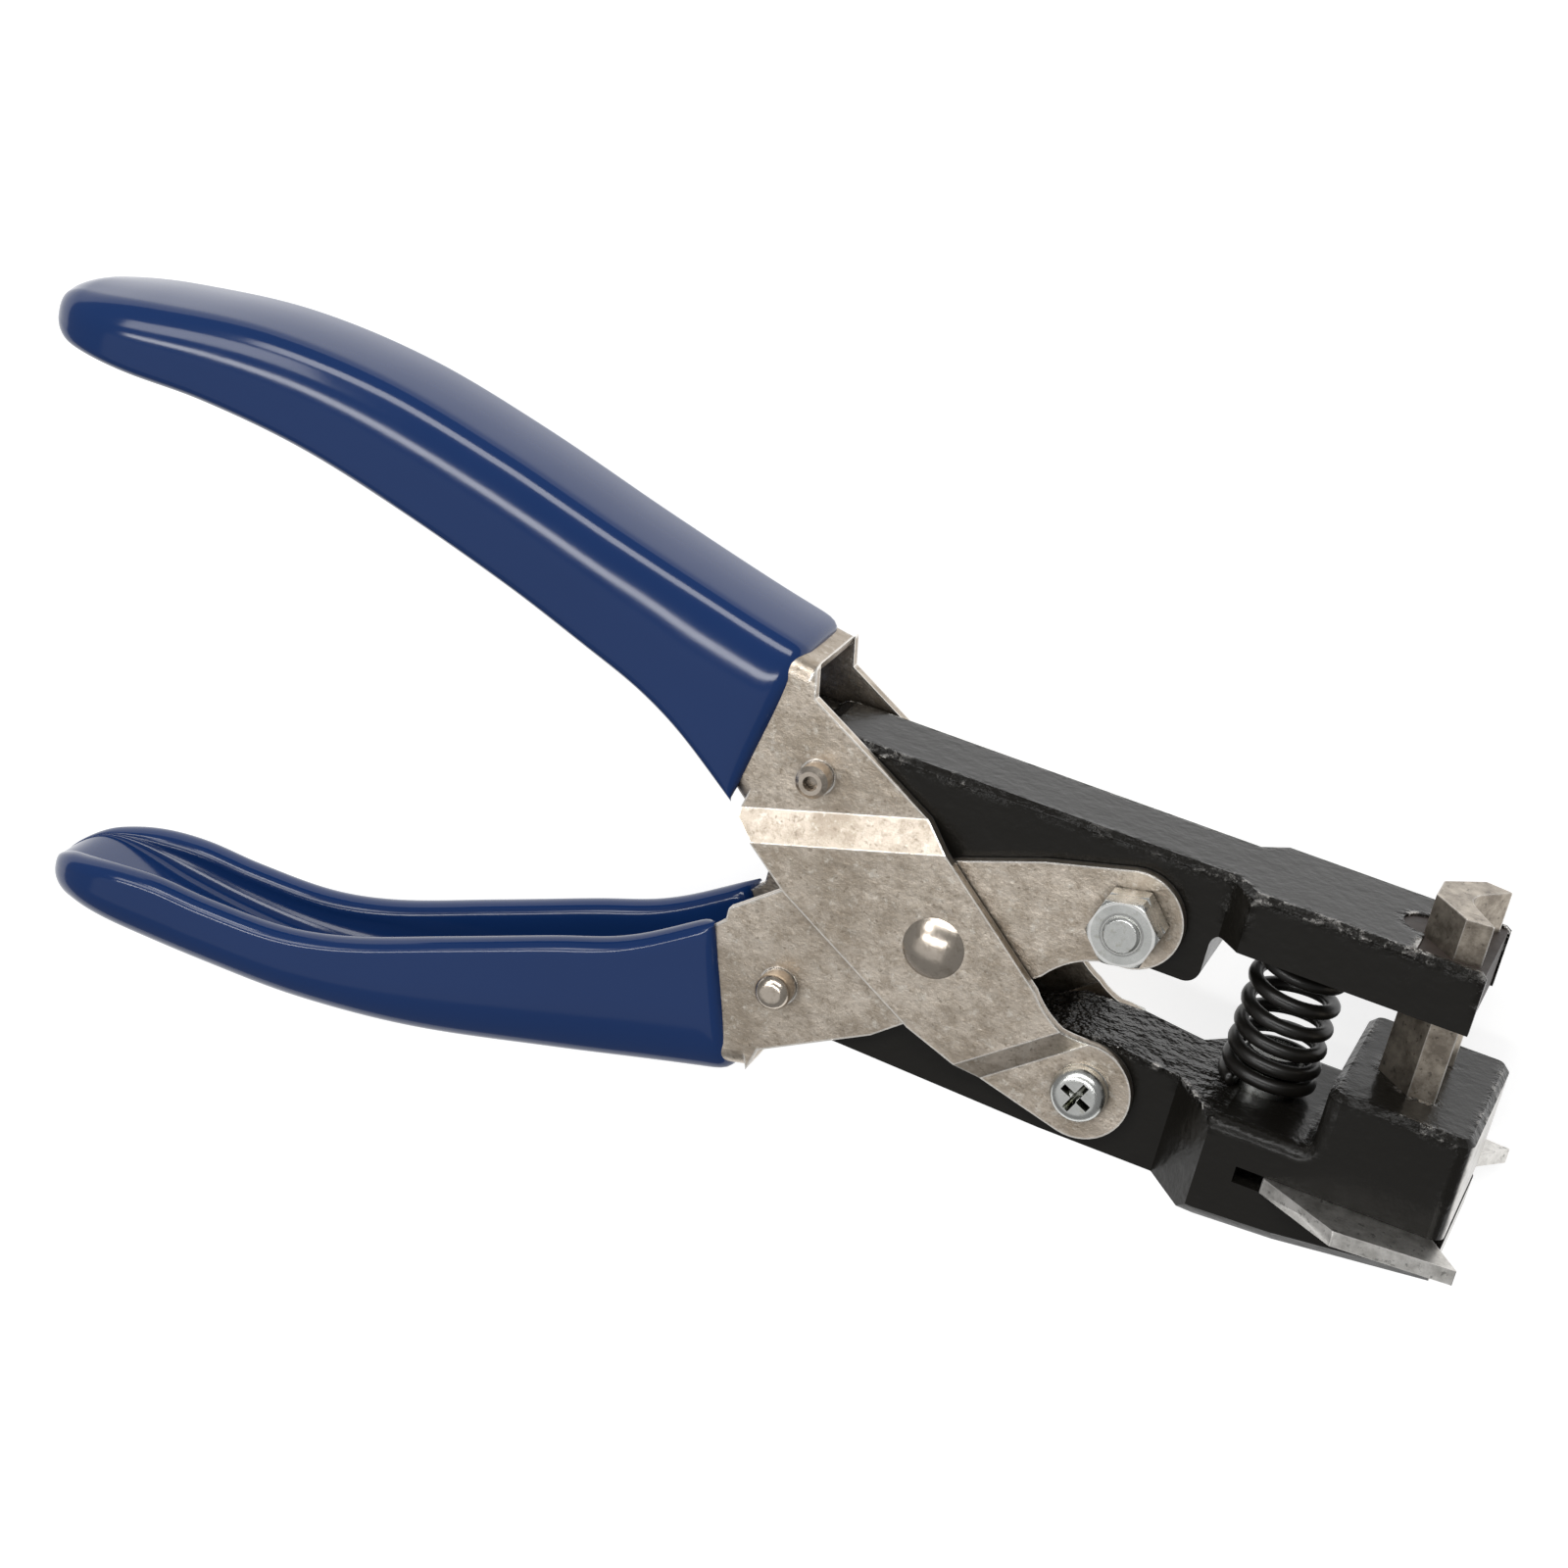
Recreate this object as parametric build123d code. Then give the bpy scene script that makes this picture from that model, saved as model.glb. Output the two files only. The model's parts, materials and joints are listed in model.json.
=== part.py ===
from build123d import *
import os
from math import atan2, cos, degrees, hypot, radians, sin, tan

# ---------------------------------------------------------------- driving sizes, mm
# The tool lies on its side: X runs along the jaws towards their tip, Y is the opening
# direction of the jaws and Z is the pin direction.  Shapes are drawn about the main
# rivet and moved at the end so the origin is the bottom centre of the whole tool.

SHEET = 1.5                    # handle plate thickness
SLIDE = 0.3                    # side gap between neighbouring moving plates
FIT = 0.02                     # gap round fixed fasteners
RUN = 0.05                     # radial gap of a turning pin

SHANK_HALF = 6.5               # half width of both jaw shanks
A_IN = SHANK_HALF + SLIDE      # inner plate level
A_OUT = A_IN + SHEET
B_IN = A_OUT + SLIDE           # outer plate level where the handles cross
B_OUT = B_IN + SHEET

FRONT_X, FRONT_Y = 22.1, 11.8  # front pivots, one above and one below the X axis
REAR_UP = (-20.0, 15.3)        # guide pin of the upper handle
REAR_UP_END = (-24.1, 15.6)    # same pin seen from the upper jaw when closed
REAR_LOW = (-17.9, -12.9)      # guide pin of the lower handle
REAR_LOW_END = (-21.6, -13.6)
ROLLER_D = 5.6
ROLLER_HALF = 6.2
SLOT_GAP = 0.25                # free play of a roller in its slot

RIVET_D = 6.0
RIVET_HEAD_D = 7.9
RIVET_HEAD_H = 1.3
BOLT_D = 5.0
BOLT_TIP_D = 4.6
NUT_FLATS = 8.0
THIN_NUT_H = 2.75
NUT_H = 4.0
WASHER_D = 9.8
WASHER_H = 0.8
BUSH_D = 7.4
SCREW_HEAD_D = 7.2
SCREW_HEAD_H = 2.4
PIN_UP_D = 4.2
PIN_UP_OUT = 3.0
PIN_LOW_D = 4.7
PIN_LOW_OUT = 3.4
CENTRE_DRILL_D = 1.9

UJ_REAR = -28.5                # upper jaw
UJ_STEP = -21.6
UJ_TOP = 20.9
UJ_TONGUE_TOP = 19.9
SHANK_EDGE = 8.2               # inner edge of both shanks, measured from the axis
LOBE_BOTTOM = 5.9
LOBE_END = 31.5
HEAD_BOTTOM = 13.0
HEAD_HALF = 9.6
HEAD_FLARE = (32.3, 35.3)
HEAD_END = 64.1
POCKET_START = 55.2
POCKET_HALF = 8.3
TONGUE_START = 52.0
TONGUE_HALF = 3.1

LJ_REAR = -27.0                # lower jaw
LJ_FLARE = (33.0, 39.0)
SEAT = -6.1
BLOCK_START = 51.1
BLOCK_END = 69.3
BLOCK_HALF = 14.0
BLOCK_TOP = 2.2
SLOT_START = 43.5
SLOT_TOP = -11.2
SLOT_BOTTOM = -13.3
PLATE_T = 2.0
DIE_T = 2.2
DIE_BOX = (52.6, 66.6, 9.6)    # start, end and half width of the die
CHUTE_GROW = 0.7
PLATE_SCREW_X, PLATE_SCREW_Z = 49.4, 9.0

PUNCH_TOP = 26.0
PUNCH_BOTTOM = -6.9
NOSE_X, NOSE_HALF = 55.0, 2.5
FLANK_X, FLANK_HALF = 59.5, 7.1
TIP_X, TIP_HALF = 62.9, 6.5
NOTCH_ANGLE = 54.0             # half angle of the notch
NOTCH_X = 59.2                 # deepest point of the rounded notch
NOTCH_R = 4.3
CROSS_PIN_D = 2.5
CROSS_PIN_AT = (57.0, 17.0)

SPRING_X = 42.3
SPRING_R = 5.15
WIRE_D = 1.8
SPRING_TURNS = 6.6
SPRING_BORE_D = 12.6
SPRING_BORE_TOP = 16.5
CUP_T = 0.6
POST_D = 8.0

GRIP_HALF = 9.6
COAT = 1.3                     # dipped coat on every side of the sheet
GRIP_CORNER_R = 2.2


# ---------------------------------------------------------------- small helpers
def cyl_z(centre, diameter, z0, z1):
    return Pos(centre[0], centre[1], (z0 + z1) / 2) * Cylinder(diameter / 2, z1 - z0)


def cyl_y(x, z, diameter, y0, y1):
    return Pos(x, (y0 + y1) / 2, z) * Rot(90, 0, 0) * Cylinder(diameter / 2, y1 - y0)


def box(x0, x1, y0, y1, z0, z1):
    return Pos((x0 + x1) / 2, (y0 + y1) / 2, (z0 + z1) / 2) * Box(x1 - x0, y1 - y0, z1 - z0)


def side_prism(face, half):
    """Prism drawn in side view (X-Y), centred on Z."""
    return extrude(face, amount=half, both=True)


def polygon(points):
    return make_face(Polyline(*points, close=True))


def plan_prism(points, y0, y1):
    """Prism drawn in plan (X-Z) and swept from y0 to y1."""
    face = make_face(Polyline(*[(x, y0, z) for x, z in points], close=True))
    return extrude(face, amount=y1 - y0, dir=(0, 1, 0))


def both_sides(points):
    """Closed plan outline from the points of its near half."""
    return points + [(x, -z) for x, z in reversed(points)]


def slot_z(start, end, diameter, half):
    """Round-ended slot running along Z."""
    run = hypot(end[0] - start[0], end[1] - start[1])
    angle = degrees(atan2(end[1] - start[1], end[0] - start[0]))
    middle = Pos((start[0] + end[0]) / 2, (start[1] + end[1]) / 2) * Rot(0, 0, angle)
    return side_prism(middle * SlotOverall(run + diameter, diameter), half)


def long_side_edges(shape, half):
    """Long edges on both sides of a channel or grip, on its outer edge."""
    return [e for e in shape.edges()
            if abs(abs(e.center().Z) - half) < 0.01 and e.length > 50 and e.center().Y > 27]


def ring_z(centre, outer_d, inner_d, z0, z1):
    return cyl_z(centre, outer_d, z0, z1) - cyl_z(centre, inner_d, z0 - 1, z1 + 1)


def hexagon_z(centre, flats, bore, z0, z1, turn):
    """Hexagon nut with chamfered corners."""
    across = flats / cos(radians(30))
    nut = extrude(Pos(centre[0], centre[1], z0) * Rot(0, 0, turn)
                  * RegularPolygon(across / 2, 6), amount=z1 - z0)
    cone = chamfer(cyl_z(centre, across, z0, z1).edges().filter_by(GeomType.CIRCLE), 0.45)
    return (nut & cone) - cyl_z(centre, bore, z0 - 1, z1 + 1)


def domed_head(centre, diameter, height, z0, direction):
    """Low domed head standing on z0."""
    radius = (diameter ** 2 / 4 + height ** 2) / (2 * height)
    ball = Pos(centre[0], centre[1], z0 + direction * (height - radius)) * Sphere(radius)
    top = z0 + direction * height
    return ball & cyl_z(centre, diameter, min(z0, top), max(z0, top))


# ---------------------------------------------------------------- handle plates
def plate_face(web_front, web_corner, rim_join):
    """Side view of a handle plate in front of its grip, drawn for the upper handle."""
    end = (FRONT_X, -FRONT_Y)
    radius = 6.3
    lean = radians(13)
    low = (end[0] - radius * sin(lean), end[1] - radius * cos(lean))
    high = (end[0] - radius * sin(radians(6)), end[1] + radius * cos(radians(6)))
    throat = (13.5, -0.8)
    waist = (-20.0, 0.0)
    below_join = (rim_join[0], waist[1] + (waist[0] - rim_join[0]) * 0.8163)
    outline = [ThreePointArc(throat, (16.9, -4.0), high),
               ThreePointArc(high, (end[0] + radius, end[1]), low)]
    front = Polyline(web_front, web_corner, (-5.0, 14.8), throat)
    rear = Polyline(low, (9.8, -15.0), (-0.5, -11.2), waist, below_join, rim_join, web_front)
    return make_face(front.edges() + outline + rear.edges())


def joggled_sheet(anchor, angle, side, run):
    """Endless sheet on the near side: outer level, a slope of the given run, inner level.

    The slope starts on the line through anchor and falls towards side."""
    reach = 80.0
    along = Vector(cos(radians(angle)), sin(radians(angle)), 0)
    across = Vector(-sin(radians(angle)) * side, cos(radians(angle)) * side, 0)
    start = Vector(anchor[0], anchor[1], 0) - along * reach
    levels = [(-reach, B_IN), (0, B_IN), (run, A_IN), (reach, A_IN),
              (reach, A_OUT), (run, A_OUT), (0, B_OUT), (-reach, B_OUT)]
    corners = [start + across * u + Vector(0, 0, z) for u, z in levels]
    return extrude(make_face(Polyline(*corners, close=True)), amount=2 * reach, dir=along)


def upper_near_plate():
    rear = joggled_sheet((-1.6, 12.0), 16.8, 1, 4.0)
    front = joggled_sheet((15.6, -6.4), 38.4, -1, 3.0)
    rear_zone = side_prism(polygon([(-90, -52), (75, 37), (75, 120), (-90, 120)]), 20)
    bent = (rear & rear_zone) + (front - rear_zone)
    return bent & extrude(plate_face(*UPPER_WEB), amount=20)


# ---------------------------------------------------------------- grips and channels
UPPER_WEB = ((-23.6, 28.7), (-22.8, 24.7), (-28.4, 8.2))
LOWER_WEB = ((-19.2, 25.4), (-18.4, 22.25), (-26.6, 7.0))
UPPER_OUTER = [(-25.2, 29.9), (-34, 31.9), (-51, 36.3), (-69, 41.3), (-86, 44.9),
               (-103, 45.9), (-119, 43.9), (-130, 40.8)]
UPPER_RIM = [(-130.2, 36.2), (-120, 34.9), (-109, 34.6), (-95, 32.9), (-81, 29.7),
             (-64, 24.8), (-52, 20.6), (-45, 18.0), (-38.5, 14.5), (-29.8, 8.1)]
UPPER_TIP = (-133.4, 38.2)
UPPER_FRONT = (-27.0, 25.0)
UPPER_FLOOR = [(-15, 25.2), (-34, 27.8), (-51, 32.2), (-69, 37.2), (-86, 40.7),
               (-99, 41.2), (-111, 38.8), (-122, 34.2)]
LOWER_OUTER = [(-20.8, 27.0), (-30, 29.3), (-45, 33.2), (-64, 37.7), (-80, 39.6),
               (-94, 39.7), (-106, 39.4), (-116, 38.6)]
LOWER_RIM = [(-116.4, 34.3), (-110.5, 31.4), (-103, 30.4), (-95, 30.8), (-84, 30.4),
             (-75, 28.4), (-62, 23.4), (-48, 17.8), (-38.5, 14.1), (-27.9, 7.2)]
LOWER_TIP = (-119.3, 36.6)
LOWER_FRONT = (-22.6, 23.6)
LOWER_FLOOR = [(-10, 20.4), (-28, 24.8), (-45, 29.1), (-64, 33.6), (-77, 35.2),
               (-88, 34.9), (-98, 32.9), (-108, 30.0)]


def grip_face(outer, tip, rim, front):
    edges = [Spline(*outer), ThreePointArc(outer[-1], tip, rim[0]), Spline(*rim),
             Line(rim[-1], front), Line(front, outer[0])]
    return make_face(Wire(edges))


def grip_plan(tip_x):
    """Plan outline that narrows round the tip of a grip."""
    edge = [(20, GRIP_HALF), (tip_x + 24, GRIP_HALF), (tip_x + 14, 9.2), (tip_x + 7, 8.1),
            (tip_x + 3, 6.6), (tip_x + 0.8, 4.6), (tip_x, 2.0)]
    near = Spline(*[(x, 0, z) for x, z in edge[1:]])
    far = Spline(*[(x, 0, -z) for x, z in reversed(edge[1:])])
    first, last = edge[1], edge[-1]
    outline = Wire([
        Line((edge[0][0], 0, -edge[0][1]), (edge[0][0], 0, edge[0][1])),
        Line((edge[0][0], 0, edge[0][1]), (first[0], 0, first[1])), near,
        Line((last[0], 0, last[1]), (last[0], 0, -last[1])), far,
        Line((first[0], 0, -first[1]), (edge[0][0], 0, -edge[0][1]))])
    return extrude(make_face(outline), amount=80, both=True, dir=(0, 1, 0))


def grip_cavity(floor):
    """Open channel inside a grip, closing like a spoon towards the tip."""
    half = GRIP_HALF - 2 * COAT - SHEET
    end = floor[-1]
    side = make_face(Wire([Spline(*floor), Line(end, (end[0], -40)),
                           Line((end[0], -40), (floor[0][0], -40)),
                           Line((floor[0][0], -40), floor[0])]))
    solid = side_prism(side, half)
    return fillet(long_side_edges(solid, half), 1.6)


def grip_solid(outer, tip, rim, front, floor, handle):
    body = side_prism(grip_face(outer, tip, rim, front), GRIP_HALF)
    body = fillet(long_side_edges(body, GRIP_HALF), GRIP_CORNER_R) & grip_plan(tip[0])
    mouth = box(rim[-1][0] - 3.2, 0, -40, rim_top(outer), -A_IN, A_IN)
    return body - grip_cavity(floor) - mouth - handle


def rim_top(outer):
    return outer[0][1] - COAT - SHEET


def channel(outer, rim, end_x, web):
    """Folded sheet inside a grip: web on the outer edge and a wall on each side."""
    top = [(x, y - COAT) for x, y in outer if x > end_x]
    low = [(x, y + COAT) for x, y in rim if x > end_x]
    web_front = web[0]
    top[0] = web_front
    low[-1] = web[2]
    edges = [Spline(*top), Line(top[-1], low[0]), Spline(*low), Line(low[-1], web_front)]
    solid = side_prism(make_face(Wire(edges)), A_OUT)
    solid = fillet(long_side_edges(solid, A_OUT), 2.4)
    inner = [(x, y - SHEET) for x, y in top]
    inner[0] = (web_front[0] + 3, web_front[1] - SHEET - 0.3)
    back, front = end_x - 9, inner[0][0]
    below = Polyline(inner[-1], (back, inner[-1][1]), (back, -40), (front, -40), inner[0])
    hollow = make_face([Spline(*inner)] + below.edges())
    return solid - side_prism(hollow, A_IN)


def upper_handle():
    near = upper_near_plate()
    body = channel(UPPER_OUTER, UPPER_RIM, -113.0, UPPER_WEB)
    body = body + near + mirror(near, about=Plane.XY)
    for centre, diameter in (((0, 0), RIVET_D), ((FRONT_X, -FRONT_Y), BOLT_D), (REAR_UP, PIN_UP_D)):
        body = body - cyl_z(centre, diameter + 2 * FIT, -20, 20)
    return body


def lower_handle():
    face = plate_face(*LOWER_WEB)
    plates = side_prism(face, A_OUT) - side_prism(face, A_IN)
    body = channel(LOWER_OUTER, LOWER_RIM, -98.0, LOWER_WEB) + plates
    body = mirror(body, about=Plane.XZ)
    body = body - cyl_z((0, 0), RIVET_D + 2 * RUN, -20, 20)
    for centre, diameter in (((FRONT_X, FRONT_Y), BOLT_D), (REAR_LOW, PIN_LOW_D)):
        body = body - cyl_z(centre, diameter + 2 * FIT, -20, 20)
    return body


def upper_grip(handle):
    return grip_solid(UPPER_OUTER, UPPER_TIP, UPPER_RIM, UPPER_FRONT, UPPER_FLOOR, handle)


def lower_grip(handle):
    flipped = mirror(handle, about=Plane.XZ)
    body = grip_solid(LOWER_OUTER, LOWER_TIP, LOWER_RIM, LOWER_FRONT, LOWER_FLOOR, flipped)
    return mirror(body, about=Plane.XZ)


# ---------------------------------------------------------------- jaws
def chevron(grow):
    """Plan outline of the punch, grown by a clearance: nose, flanks and round notch."""
    slope = radians(NOTCH_ANGLE)
    notch = NOTCH_X + grow
    touch_x = notch + NOTCH_R * (1 - sin(slope))
    touch_z = NOTCH_R * cos(slope)
    tip_x = touch_x + (TIP_HALF + grow - touch_z) / tan(slope)
    near = [(NOSE_X - grow, NOSE_HALF), (FLANK_X, FLANK_HALF + grow), (tip_x, TIP_HALF + grow)]
    corners = [(x, 0, z) for x, z in near + [(touch_x, touch_z)]]
    others = [(x, 0, -z) for x, z in [(touch_x, touch_z)] + near[::-1]]
    notch_arc = ThreePointArc(corners[-1], (notch, 0, 0), others[0])
    outline = Polyline(*corners).edges() + [notch_arc] + Polyline(*others, corners[0]).edges()
    return make_face(outline)


def chevron_prism(grow, y0, y1):
    return Pos(0, y0, 0) * extrude(chevron(grow), amount=y1 - y0, dir=(0, 1, 0))


def upper_jaw():
    profile = polygon([
        (UJ_REAR, 8.6), (UJ_REAR, UJ_TONGUE_TOP), (UJ_STEP - 1.2, UJ_TONGUE_TOP),
        (UJ_STEP, UJ_TOP), (HEAD_END, UJ_TOP), (HEAD_END, HEAD_BOTTOM), (LOBE_END, HEAD_BOTTOM),
        (LOBE_END, LOBE_BOTTOM), (16.5, LOBE_BOTTOM), (12.0, 7.4), (8.0, SHANK_EDGE),
        (-18.0, SHANK_EDGE)])
    corners = profile.vertices()
    lobe = [v for v in corners if abs(v.X - LOBE_END) < 0.01]
    profile = fillet([v for v in lobe if v.Y < 10], 2.0)
    inner = [v for v in profile.vertices() if abs(v.X - LOBE_END) < 0.01 and v.Y > 10]
    profile = fillet(inner, 1.5)
    rear = [v for v in profile.vertices() if abs(v.X - UJ_REAR) < 0.01]
    profile = fillet(rear, 1.8)
    plan = both_sides([(UJ_REAR - 1, SHANK_HALF), (HEAD_FLARE[0], SHANK_HALF),
                       (HEAD_FLARE[1], HEAD_HALF), (HEAD_END, HEAD_HALF)])
    body = side_prism(profile, HEAD_HALF) & plan_prism(plan, 0, 30)
    top = [e for e in body.edges() if e.center().Y > UJ_TOP - 0.01]
    body = chamfer(top, 0.7)
    body = body - box(POCKET_START, 70, 0, 30, -POCKET_HALF, POCKET_HALF)
    body = body - tongue_slot(0.0, 0, 30)
    body = body - cyl_y(SPRING_X, 0, SPRING_BORE_D, HEAD_BOTTOM - 1, SPRING_BORE_TOP)
    body = body - cyl_z((FRONT_X, FRONT_Y), BUSH_D + 2 * FIT, -20, 20)
    return body - slot_z(REAR_UP, REAR_UP_END, ROLLER_D + 2 * SLOT_GAP, 20)


def tongue_slot(inset, y0, y1):
    half = TONGUE_HALF - inset
    start = TONGUE_START + TONGUE_HALF
    return box(start, POCKET_START + 1, y0, y1, -half, half) + cyl_y(start, 0, 2 * half, y0, y1)


def lower_jaw():
    profile = polygon([
        (LJ_REAR, -8.6), (-17.0, -SHANK_EDGE), (8.0, -SHANK_EDGE), (12.0, -7.6), (17.0, -5.4),
        (25.0, -5.2), (33.0, SEAT), (BLOCK_START, SEAT), (BLOCK_START, BLOCK_TOP),
        (BLOCK_END, BLOCK_TOP), (BLOCK_END, -17.0), (50.0, -19.2), (40.0, -19.7),
        (33.0, -19.4), (18.0, -19.3), (-9.0, -18.2), (LJ_REAR, -17.8)])
    rear = [v for v in profile.vertices() if abs(v.X - LJ_REAR) < 0.01]
    profile = fillet(rear, 1.8)
    root = [v for v in profile.vertices() if abs(v.X - BLOCK_START) < 0.01 and v.Y < 0]
    profile = fillet(root, 1.2)
    plan = both_sides([(LJ_REAR - 1, SHANK_HALF), (LJ_FLARE[0], SHANK_HALF),
                       (LJ_FLARE[1], BLOCK_HALF), (BLOCK_END, BLOCK_HALF)])
    body = side_prism(profile, BLOCK_HALF) & plan_prism(plan, -30, 10)
    under = [e for e in body.edges() if e.center().Y < -16 and abs(abs(e.center().Z) - BLOCK_HALF) < 0.1]
    body = chamfer(under, 1.4)
    posts = [e for e in body.edges().filter_by(Axis.Y) if e.center().X > BLOCK_START - 0.1
             and abs(abs(e.center().Z) - BLOCK_HALF) < 0.1]
    body = fillet(posts, 1.9)
    rim = [e for e in body.edges() if e.center().Y > BLOCK_TOP - 0.01]
    body = chamfer(rim, 0.8)
    body = body - box(SLOT_START, 80, SLOT_BOTTOM, SLOT_TOP, -20, 20)
    body = body - chevron_prism(RUN, SLOT_TOP - 1, 10)
    body = body - box(DIE_BOX[0], DIE_BOX[1], SLOT_BOTTOM - DIE_T, SLOT_BOTTOM + 1,
                      -DIE_BOX[2], DIE_BOX[2])
    body = body - chevron_prism(CHUTE_GROW, -30, SLOT_BOTTOM)
    body = body - cyl_y(SPRING_X, 0, 4.0 + 2 * FIT, SEAT - 4.4, SEAT + 1)
    for z in (-PLATE_SCREW_Z, PLATE_SCREW_Z):
        body = body - cyl_y(PLATE_SCREW_X, z, 3.0 + 2 * FIT, -30, SLOT_BOTTOM + 1)
        body = body - cyl_y(PLATE_SCREW_X, z, 6.0, -30, -16.6)
    body = body - cyl_z((FRONT_X, -FRONT_Y), BUSH_D + 2 * FIT, -20, 20)
    return body - slot_z(REAR_LOW, REAR_LOW_END, ROLLER_D + 2 * SLOT_GAP, 20)





# ---------------------------------------------------------------- cutting parts
def guide_plate():
    slope = tan(radians(NOTCH_ANGLE))
    apex = TIP_X - TIP_HALF / slope
    wing_end = (72.3, (72.3 - apex) * slope)
    outline = both_sides([(47.0, 14.3), (57.3, 21.2), wing_end])
    wedge = [(apex, 0), (90.0, (90.0 - apex) * slope), (90.0, -(90.0 - apex) * slope)]
    y0 = SLOT_BOTTOM + 0.05
    body = plan_prism(outline, y0, y0 + PLATE_T) - plan_prism(wedge, y0 - 1, y0 + PLATE_T + 1)
    body = body - chevron_prism(0.15, y0 - 1, y0 + PLATE_T + 1)
    for z in (-PLATE_SCREW_Z, PLATE_SCREW_Z):
        body = body - cyl_y(PLATE_SCREW_X, z, 3.0 + 2 * FIT, y0 - 1, y0 + PLATE_T + 1)
    return body


def die_plate():
    start, end, half = DIE_BOX
    body = box(start + FIT, end - FIT, SLOT_BOTTOM - DIE_T + FIT, SLOT_BOTTOM, -half + FIT, half - FIT)
    return body - chevron_prism(RUN, SLOT_BOTTOM - DIE_T - 1, SLOT_BOTTOM + 1)


def plate_screws():
    top = SLOT_BOTTOM + 0.05 + PLATE_T
    screws = []
    for z in (-PLATE_SCREW_Z, PLATE_SCREW_Z):
        shaft = cyl_y(PLATE_SCREW_X, z, 3.0, -16.6, top)
        head = cyl_y(PLATE_SCREW_X, z, 5.4, -18.6, -16.6)
        socket = Pos(PLATE_SCREW_X, -18.6, z) * Rot(90, 0, 0) * extrude(RegularPolygon(1.4, 6), amount=-1.2)
        screws.append(shaft + head - socket)
    return Compound(children=screws)


def punch():
    body = chevron_prism(0, PUNCH_BOTTOM, PUNCH_TOP)
    return body - cyl_z(CROSS_PIN_AT, CROSS_PIN_D + 2 * FIT, -20, 20)


def punch_holder():
    low, high = HEAD_BOTTOM + 0.3, UJ_TOP - 0.3
    half = POCKET_HALF - FIT
    body = box(POCKET_START + FIT, HEAD_END - 0.3, low, high, -half, half)
    body = body + tongue_slot(FIT, low, high)
    body = body - chevron_prism(FIT, low - 1, high + 1)
    return body - cyl_z(CROSS_PIN_AT, CROSS_PIN_D + 2 * FIT, -20, 20)


def punch_cross_pin():
    return cyl_z(CROSS_PIN_AT, CROSS_PIN_D, -8.0, 8.0)


# ---------------------------------------------------------------- return spring
def spring_post():
    cap = cyl_y(SPRING_X, 0, POST_D, SEAT, SEAT + 5.0)
    cap = chamfer(cap.edges().filter_by(GeomType.CIRCLE).sort_by(Axis.Y)[-1], 0.8)
    return cap + cyl_y(SPRING_X, 0, 4.0, SEAT - 4.0, SEAT)


def spring_cup():
    disc = cyl_y(SPRING_X, 0, SPRING_BORE_D - 2 * FIT, SPRING_BORE_TOP - CUP_T, SPRING_BORE_TOP)
    return disc + cyl_y(SPRING_X, 0, POST_D, SPRING_BORE_TOP - 2.6, SPRING_BORE_TOP)


def return_spring():
    low = SEAT + WIRE_D / 2 + FIT
    high = SPRING_BORE_TOP - CUP_T - WIRE_D / 2 - FIT
    height = high - low
    path = Helix(pitch=height / SPRING_TURNS, height=height, radius=SPRING_R)
    start = Plane(origin=path @ 0, z_dir=path % 0)
    coil = sweep(start * Circle(WIRE_D / 2), path=path, is_frenet=True)
    return Pos(SPRING_X, low, 0) * Rot(-90, 0, 0) * coil


# ---------------------------------------------------------------- pivots and fasteners
def pivot_rivet():
    body = cyl_z((0, 0), RIVET_D, -B_OUT, B_OUT)
    near = domed_head((0, 0), RIVET_HEAD_D, RIVET_HEAD_H, B_OUT, 1)
    return body + near + mirror(near, about=Plane.XY)


def pivot_bush(y):
    return ring_z((FRONT_X, y), BUSH_D, BOLT_D + 2 * RUN, -SHANK_HALF, SHANK_HALF)


def upper_jaw_bolt():
    centre = (FRONT_X, FRONT_Y)
    stack = A_OUT + 2 * THIN_NUT_H + 0.1
    under = -A_OUT - WASHER_H
    shaft = cyl_z(centre, BOLT_D, under, stack)
    tip = chamfer(cyl_z(centre, BOLT_TIP_D, stack, stack + 0.5).edges().sort_by(Axis.Z)[-1], 0.3)
    head = hexagon_z(centre, NUT_FLATS, 0.5, under - 3.5, under, 0) + cyl_z(centre, 2, under - 3.5, under)
    return shaft + tip + head


def jam_nuts():
    centre = (FRONT_X, FRONT_Y)
    bore = BOLT_D + 2 * FIT
    inner = hexagon_z(centre, NUT_FLATS, bore, A_OUT, A_OUT + THIN_NUT_H, 12)
    outer = hexagon_z(centre, NUT_FLATS, bore, A_OUT + THIN_NUT_H + 0.05, A_OUT + 2 * THIN_NUT_H + 0.05, 12)
    return Compound(children=[inner, outer])


def cross_recess(centre, z_top):
    arms = extrude(Rectangle(4.2, 0.9) + Rectangle(0.9, 4.2), amount=1.7, taper=12)
    return Pos(centre[0], centre[1], z_top) * Rot(180, 0, 25) * arms


def lower_jaw_screw():
    centre = (FRONT_X, -FRONT_Y)
    head = cyl_z(centre, SCREW_HEAD_D, A_OUT, A_OUT + SCREW_HEAD_H)
    head = fillet(head.edges().filter_by(GeomType.CIRCLE).sort_by(Axis.Z)[-1], 1.5)
    head = head - cross_recess(centre, A_OUT + SCREW_HEAD_H)
    end = -A_OUT - WASHER_H - NUT_H - 0.8
    shaft = cyl_z(centre, BOLT_D, end, A_OUT)
    return head + chamfer(shaft.edges().filter_by(GeomType.CIRCLE).sort_by(Axis.Z)[0], 0.5)


def lower_screw_nut():
    top = -A_OUT - WASHER_H
    return hexagon_z((FRONT_X, -FRONT_Y), NUT_FLATS, BOLT_D + 2 * FIT, top - NUT_H, top, 7)


def far_washer(y):
    return ring_z((FRONT_X, y), WASHER_D, BOLT_D + 2 * FIT, -A_OUT - WASHER_H, -A_OUT)


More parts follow.
